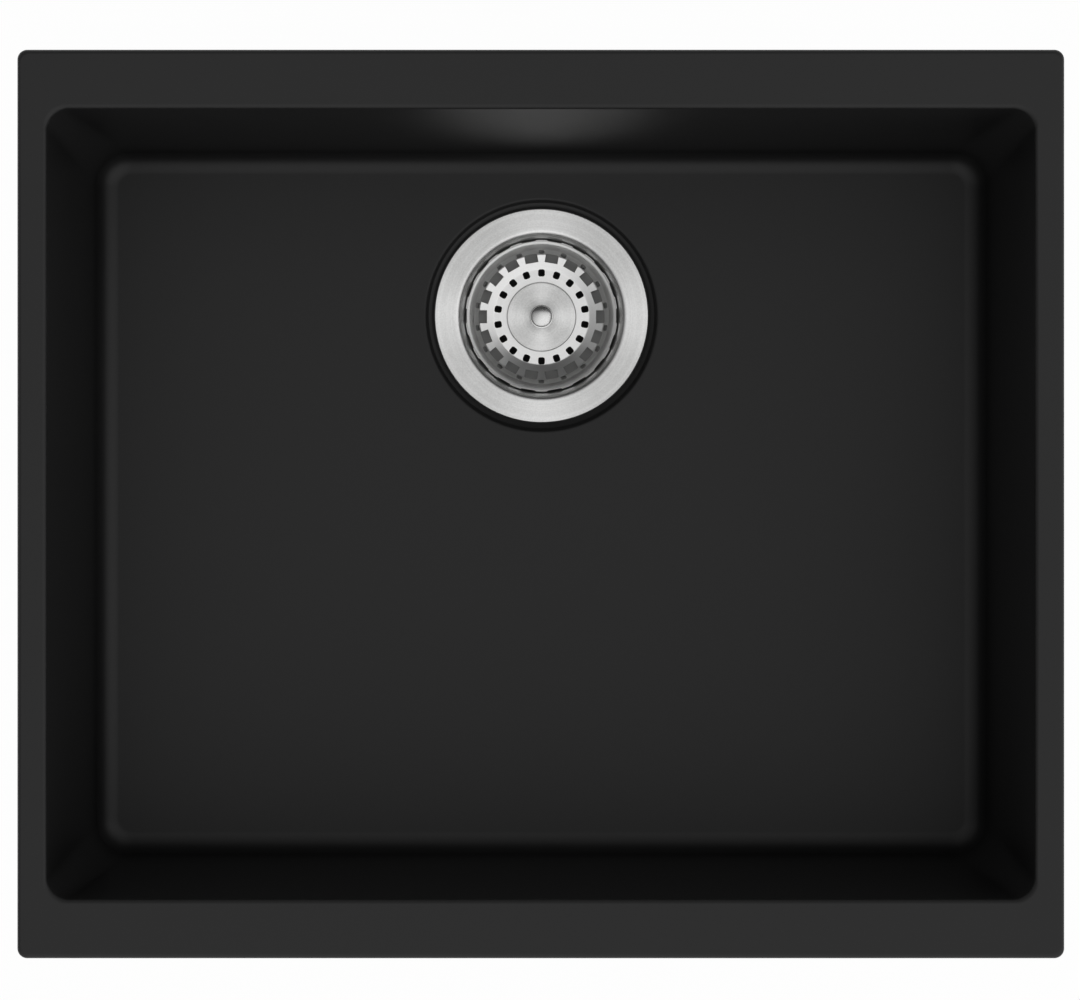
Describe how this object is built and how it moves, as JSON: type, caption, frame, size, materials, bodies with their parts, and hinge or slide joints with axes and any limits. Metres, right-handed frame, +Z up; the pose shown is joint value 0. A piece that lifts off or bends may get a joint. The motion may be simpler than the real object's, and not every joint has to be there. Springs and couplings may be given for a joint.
{
  "type": "undermount kitchen sink",
  "caption": "Black composite undermount kitchen sink: rectangular bowl with a flat rim, basket strainer waste with a lift-out basket and stopper, and swinging clips under the rim.",
  "frame": {"origin": "centre of the bowl's mouth, in the plane of the rim's top face, which seals against the worktop", "axes": "+X to the right, +Y to the back wall, where the drain is, +Z up out of the bowl"},
  "size_m": [0.53, 0.46, 0.3247],
  "materials": {
    "black_composite": "matt, fine grained",
    "brushed_steel": "circular brushed",
    "polished_steel": "bright pressed",
    "zinc_plated_steel": "bright zinc plated",
    "cast_zinc": "as cast",
    "brass": "turned",
    "black_rubber": "moulded",
    "foam_rubber": "closed-cell foam",
    "fibre": "pressed fibre",
    "white_plastic": "moulded"
  },
  "bodies": {
    "sink": {"sink_bowl": "black_composite", "strainer_body": "brushed_steel", "flange_gasket": "foam_rubber", "sink_gasket": "black_rubber", "friction_washer": "fibre", "lock_nut": "cast_zinc", "tail_washer": "white_plastic", "tailpiece": "polished_steel", "coupling_nut": "white_plastic", "insert_back_left": "brass", "washer_back_left": "zinc_plated_steel", "screw_back_left": "zinc_plated_steel", "insert_back_centre": "brass", "washer_back_centre": "zinc_plated_steel", "screw_back_centre": "zinc_plated_steel", "insert_back_right": "brass", "washer_back_right": "zinc_plated_steel", "screw_back_right": "zinc_plated_steel", "insert_front_left": "brass", "washer_front_left": "zinc_plated_steel", "screw_front_left": "zinc_plated_steel", "insert_front_centre": "brass", "washer_front_centre": "zinc_plated_steel", "screw_front_centre": "zinc_plated_steel", "insert_front_right": "brass", "washer_front_right": "zinc_plated_steel", "screw_front_right": "zinc_plated_steel"},
    "plug": {"pull_knob": "polished_steel", "stem_spacer": "white_plastic", "stopper_plate": "polished_steel", "stopper_seal": "black_rubber", "stem_nut": "brass", "stem_catch": "brass"},
    "basket": {"basket_cup": "polished_steel", "basket_disc": "brushed_steel"},
    "clip_back_left": {"clip_back_left": "zinc_plated_steel"},
    "clip_back_centre": {"clip_back_centre": "zinc_plated_steel"},
    "clip_back_right": {"clip_back_right": "zinc_plated_steel"},
    "clip_front_left": {"clip_front_left": "zinc_plated_steel"},
    "clip_front_centre": {"clip_front_centre": "zinc_plated_steel"},
    "clip_front_right": {"clip_front_right": "zinc_plated_steel"}
  },
  "joints": [
    {"name": "plug_lift", "type": "slide", "parent": "sink", "child": "plug", "axis": [0, 0, 1], "range_m": [0, 0.26]},
    {"name": "basket_turn", "type": "hinge", "parent": "plug", "child": "basket", "pos_m": [0, 0.1, -0.2193], "axis": [0, 0, 1], "continuous": true},
    {"name": "clip_back_left_swing", "type": "hinge", "parent": "sink", "child": "clip_back_left", "pos_m": [-0.17, 0.2195, -0.01745], "axis": [0, 0, 1], "range_deg": [0, 180]},
    {"name": "clip_back_centre_swing", "type": "hinge", "parent": "sink", "child": "clip_back_centre", "pos_m": [0, 0.2195, -0.01745], "axis": [0, 0, 1], "range_deg": [0, 180]},
    {"name": "clip_back_right_swing", "type": "hinge", "parent": "sink", "child": "clip_back_right", "pos_m": [0.17, 0.2195, -0.01745], "axis": [0, 0, -1], "range_deg": [0, 180]},
    {"name": "clip_front_left_swing", "type": "hinge", "parent": "sink", "child": "clip_front_left", "pos_m": [-0.17, -0.2195, -0.01745], "axis": [0, 0, -1], "range_deg": [0, 180]},
    {"name": "clip_front_centre_swing", "type": "hinge", "parent": "sink", "child": "clip_front_centre", "pos_m": [0, -0.2195, -0.01745], "axis": [0, 0, -1], "range_deg": [0, 180]},
    {"name": "clip_front_right_swing", "type": "hinge", "parent": "sink", "child": "clip_front_right", "pos_m": [0.17, -0.2195, -0.01745], "axis": [0, 0, 1], "range_deg": [0, 180]}
  ]
}
